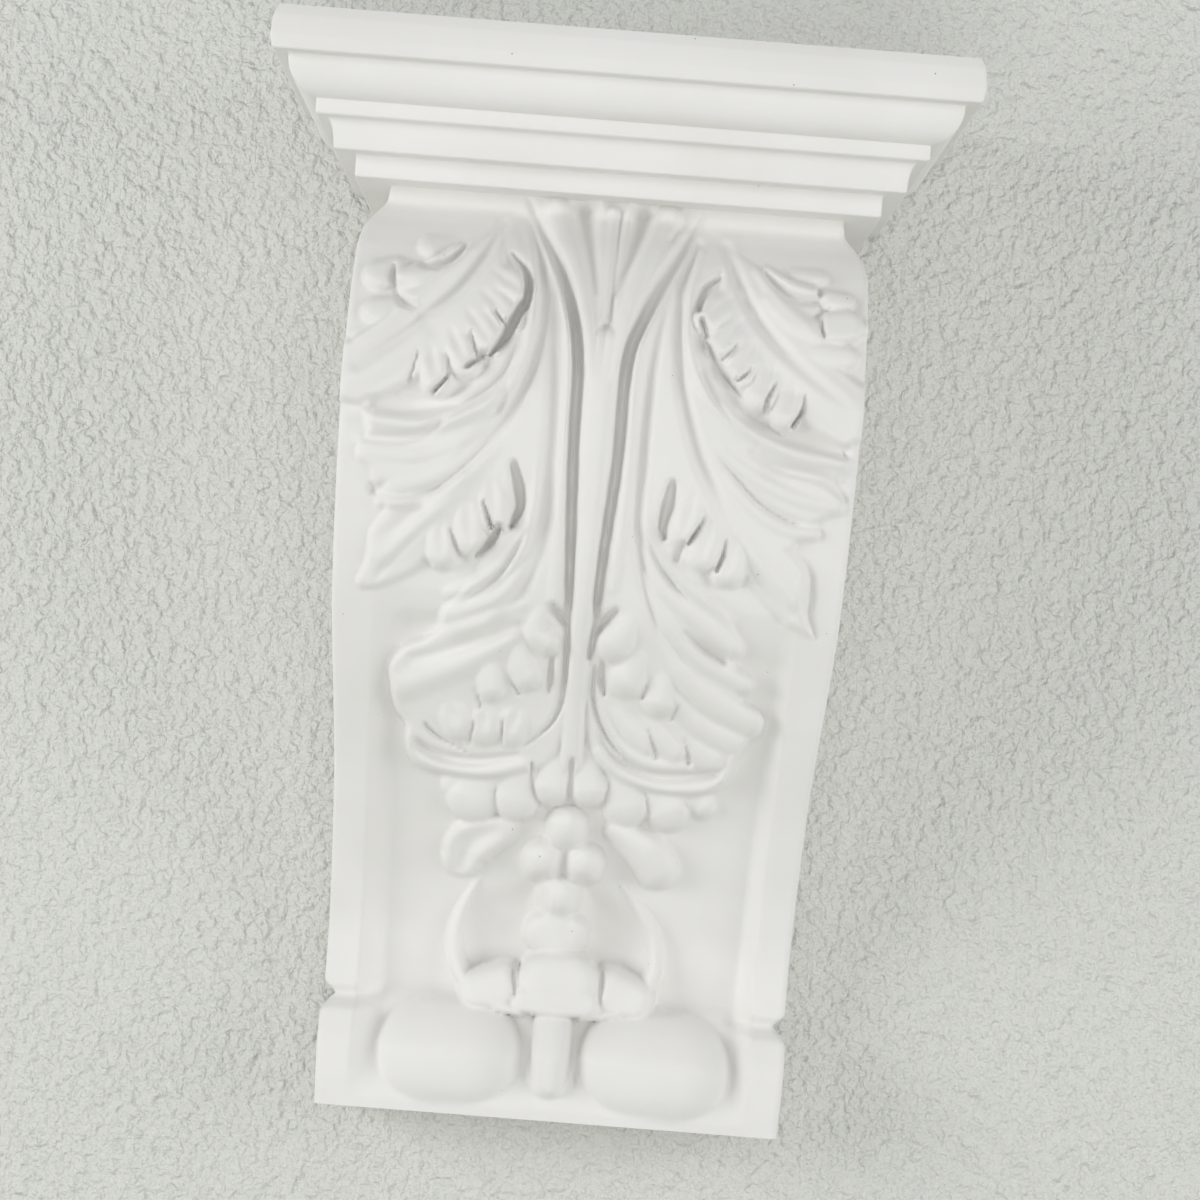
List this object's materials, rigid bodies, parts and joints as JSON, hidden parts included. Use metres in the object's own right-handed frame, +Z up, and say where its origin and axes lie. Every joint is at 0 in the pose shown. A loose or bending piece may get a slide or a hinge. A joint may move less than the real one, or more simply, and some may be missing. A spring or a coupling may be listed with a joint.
{
  "type": "cast plaster corbel",
  "caption": "Cast plaster corbel with a stepped crown, an S-shaped body, an acanthus leaf and a tulip; it is fixed to a wall and carries a shelf, beam or cornice.",
  "frame": {"origin": "middle of the flat back, where the corbel meets the wall", "axes": "+Z up along the height, +Y into the wall, so the carved front faces -Y; X across the width"},
  "size_m": [0.1938, 0.0932, 0.306],
  "materials": {
    "plaster": "matt cast gypsum plaster, unpainted white, with small pinholes"
  },
  "bodies": {
    "root": {"corbel": "plaster"}
  },
  "joints": []
}
